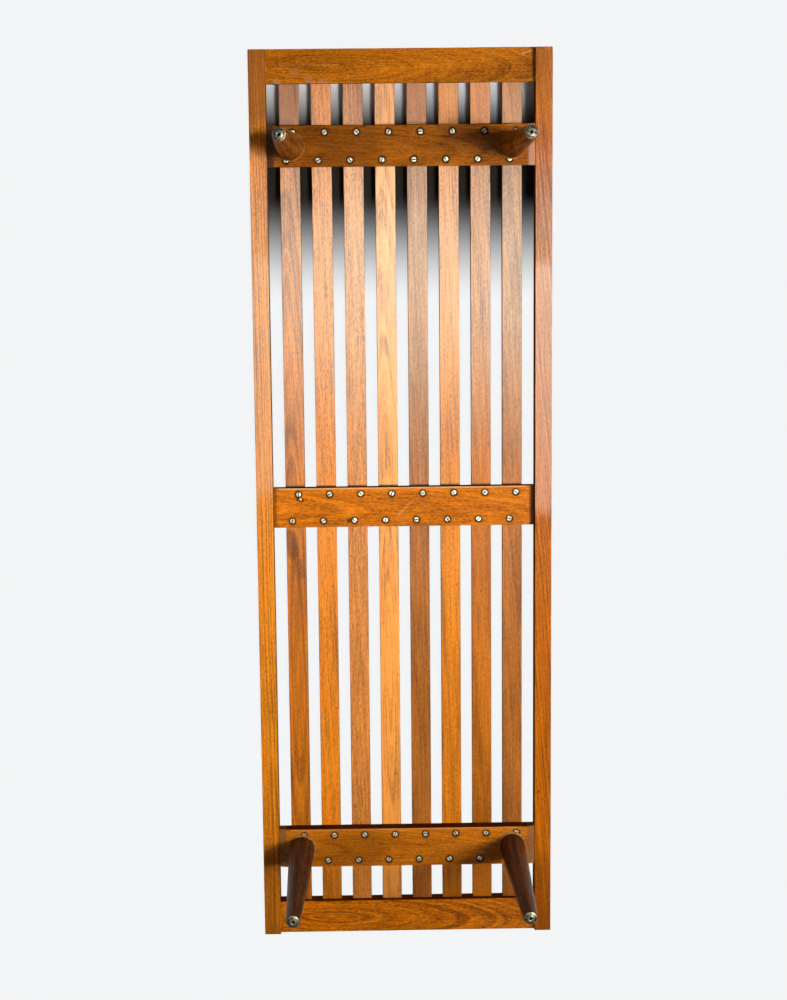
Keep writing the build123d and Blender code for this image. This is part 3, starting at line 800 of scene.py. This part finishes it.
def threaded_bolt(corner, material):
    """A hanger bolt with its thread, in place of the plain rod."""
    node = corner + "_hanger_bolt"
    low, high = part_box(node)
    centre = (low + high) / 2
    radius = (high.x - low.x) / 2
    length = high.z - low.z
    rings = round(length / THREAD_LEAD * THREAD_STEPS_PER_TURN)
    points = []
    for ring in range(rings + 1):
        z = length * ring / rings
        end = min(z, length - z)
        limit = radius - max(0.0, THREAD_DEPTH - end)
        for side in range(THREAD_SIDES):
            angle = 2 * pi * side / THREAD_SIDES
            phase = (z / THREAD_LEAD - side / THREAD_SIDES) % 1.0
            reach = min(limit, radius - THREAD_DEPTH * abs(2 * phase - 1))
            points.append((centre.x + reach * cos(angle), centre.y + reach * sin(angle), low.z + z))
    faces = []
    for ring in range(rings):
        for side in range(THREAD_SIDES):
            beside = (side + 1) % THREAD_SIDES
            below, above = ring * THREAD_SIDES, (ring + 1) * THREAD_SIDES
            faces.append((below + side, below + beside, above + beside, above + side))
    faces.append(tuple(reversed(range(THREAD_SIDES))))
    faces.append(tuple(rings * THREAD_SIDES + side for side in range(THREAD_SIDES)))
    mesh = bpy.data.meshes.new(corner + "_bolt_thread")
    mesh.from_pydata(points, [], faces)
    mesh.materials.append(material)
    piece = bpy.data.objects.new(corner + "_bolt_thread", mesh)
    bpy.context.scene.collection.objects.link(piece)
    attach(piece, corner + "_bolt")
    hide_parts(node)


def add_bolts():
    """Zinc-plated hanger bolts, one in each leg."""
    plating = metal("zinc_bolt", ZINC, roughness=0.34, stain_scale=400)
    for corner in CORNERS:
        threaded_bolt(corner, plating)


def add_camera():
    """The camera at the photograph's place."""
    data = bpy.data.cameras.new("camera")
    data.sensor_fit = "AUTO"
    data.sensor_width = SENSOR
    data.lens = FOCAL_PIXELS * SENSOR / PICTURE_HEIGHT
    back = CAMERA_RIGHT.cross(CAMERA_UP)
    axes = Matrix((CAMERA_RIGHT, CAMERA_UP, back)).transposed()
    camera = bpy.data.objects.new("camera", data)
    camera.matrix_world = Matrix.Translation(CAMERA_PLACE) @ axes.to_4x4()
    bpy.context.scene.collection.objects.link(camera)
    bpy.context.scene.camera = camera


def add_light(name, place, target, size, power, spread=180, tint=(1, 1, 1), matt=True, glossy=True):
    """A soft panel of light at a place, turned to its target."""
    data = bpy.data.lights.new(name, "AREA")
    data.shape = "RECTANGLE"
    data.size, data.size_y = size
    data.energy = power
    data.color = tint
    data.spread = radians(spread)
    light = bpy.data.objects.new(name, data)
    back = (Vector(place) - Vector(target)).normalized()
    along = (Vector((1, 0, 0)) - back * back.x).normalized()
    axes = Matrix((along, back.cross(along), back)).transposed()
    light.matrix_world = Matrix.Translation(place) @ axes.to_4x4()
    light.visible_diffuse = matt
    light.visible_glossy = glossy
    bpy.context.scene.collection.objects.link(light)


def add_world():
    """Pale surroundings, seen by the camera and, above the floor, in reflections; dimmer as light."""
    world = bpy.data.worlds.new("studio")
    world.use_nodes = True
    nodes, links = world.node_tree.nodes, world.node_tree.links
    shine = nodes["Background"]
    shine.inputs["Color"].default_value = WORLD_LIGHT
    shine.inputs["Strength"].default_value = WORLD_STRENGTH
    seen = nodes.new("ShaderNodeBackground")
    seen.inputs["Color"].default_value = WORLD_SEEN
    path = nodes.new("ShaderNodeLightPath")
    direction = nodes.new("ShaderNodeSeparateXYZ")
    links.new(nodes.new("ShaderNodeTexCoord").outputs["Generated"], direction.inputs["Vector"])
    above = nodes.new("ShaderNodeMapRange")
    above.inputs["From Min"].default_value, above.inputs["From Max"].default_value = HORIZON
    links.new(direction.outputs["Z"], above.inputs["Value"])

    def combine(operation, first, second):
        node = nodes.new("ShaderNodeMath")
        node.operation = operation
        links.new(first, node.inputs[0])
        links.new(second, node.inputs[1])
        return node.outputs[0]

    mirrored = combine("MAXIMUM", path.outputs["Is Glossy Ray"], path.outputs["Is Transmission Ray"])
    mirrored = combine("MULTIPLY", mirrored, above.outputs[0])
    mix = nodes.new("ShaderNodeMixShader")
    links.new(combine("MAXIMUM", path.outputs["Is Camera Ray"], mirrored), mix.inputs["Fac"])
    links.new(shine.outputs["Background"], mix.inputs[1])
    links.new(seen.outputs["Background"], mix.inputs[2])
    links.new(mix.outputs["Shader"], nodes["World Output"].inputs["Surface"])
    bpy.context.scene.world = world


def one_sided(name, colour, fade):
    """A plain matt stage surface that shows on its front only, and not where it fades."""
    shader = Shader(name)
    shader.set(Base_Color=colour(shader), Roughness=0.9, Specular_IOR_Level=0.1)
    clear = shader.node("BsdfTransparent", {}).outputs[0]
    behind = shader.node("NewGeometry", {}).outputs["Backfacing"]
    hidden = shader.math("MAXIMUM", behind, fade(shader))
    seen = shader.node("MixShader", {0: hidden, 1: shader.surface.outputs[0], 2: clear})
    shader.tree.links.new(seen.outputs[0], shader.output.inputs["Surface"])
    return shader.material


def add_stage_sheet(name, reach, height, turned, material, seen_by):
    """A level stage sheet seen by some kinds of ray only, so it takes shadows and gives none."""
    corners = [(x * reach, y * reach, height) for x, y in ((-1, -1), (1, -1), (1, 1), (-1, 1))]
    mesh = bpy.data.meshes.new(name)
    mesh.from_pydata(corners, [], [(3, 2, 1, 0) if turned else (0, 1, 2, 3)])
    mesh.materials.append(material)
    sheet = bpy.data.objects.new(name, mesh)
    for kind in ("camera", "diffuse", "glossy", "transmission", "shadow"):
        setattr(sheet, "visible_" + kind, kind in seen_by)
    bpy.context.scene.collection.objects.link(sheet)


def floor_colour(shader):
    """Pale, with a faint mottle."""
    pale, paler = FLOOR_TONES
    mottle = shader.noise(shader.place(), scale=3.0, detail=4.0)
    return shader.mix(mottle, linear(pale), linear(paler))


def floor_fade(shader):
    """The floor stays near the bench only."""
    return shader.step(shader.vector("LENGTH", shader.place()), *FLOOR_RIM)


def shade_colour(shader):
    """Pale at the head end, dark from the head batten on."""
    x = shader.split(shader.place())[0]
    return shader.mix(shader.step(x, *SHADE_TURN), linear(SHADE_LIGHT), linear(SHADE_DARK))


def card_colour(shader):
    """Near black all over."""
    return linear(CARD_TONE)


def shade_fade(shader):
    """Nothing outside the frame or away from its head end."""
    x, y, _ = shader.split(shader.place())
    aside = shader.step(shader.math("ABSOLUTE", y), *SHADE_SIDES)
    beyond = shader.step(x, *SHADE_HEAD)
    return shader.math("MAXIMUM", shader.math("MAXIMUM", aside, beyond), shader.step(x, *SHADE_FOOT))


def add_stage():
    """A pale floor, seen from above, and shade behind the gaps at the head end, seen from below."""
    seat = cad_high.z
    floor = one_sided("floor", floor_colour, floor_fade)
    add_stage_sheet("floor", FLOOR_REACH, 0.0, False, floor, ["camera"])
    shade = one_sided("shade", shade_colour, shade_fade)
    add_stage_sheet("shade", SHADE_REACH, seat - SHADE_DEPTH, True, shade, ["camera"])
    card = one_sided("shade_card", card_colour, shade_fade)
    add_stage_sheet("shade_card", SHADE_REACH, seat - CARD_DEPTH, True, card, ["diffuse", "glossy"])


dress_frame()
dress_legs()
dress_screws()
dress_glides()
dress_hidden()
add_bolts()
add_camera()
for lamp_name, lamp in LAMPS.items():
    add_light(lamp_name, **lamp)
add_world()
add_stage()
bpy.context.scene.view_settings.view_transform = "Standard"
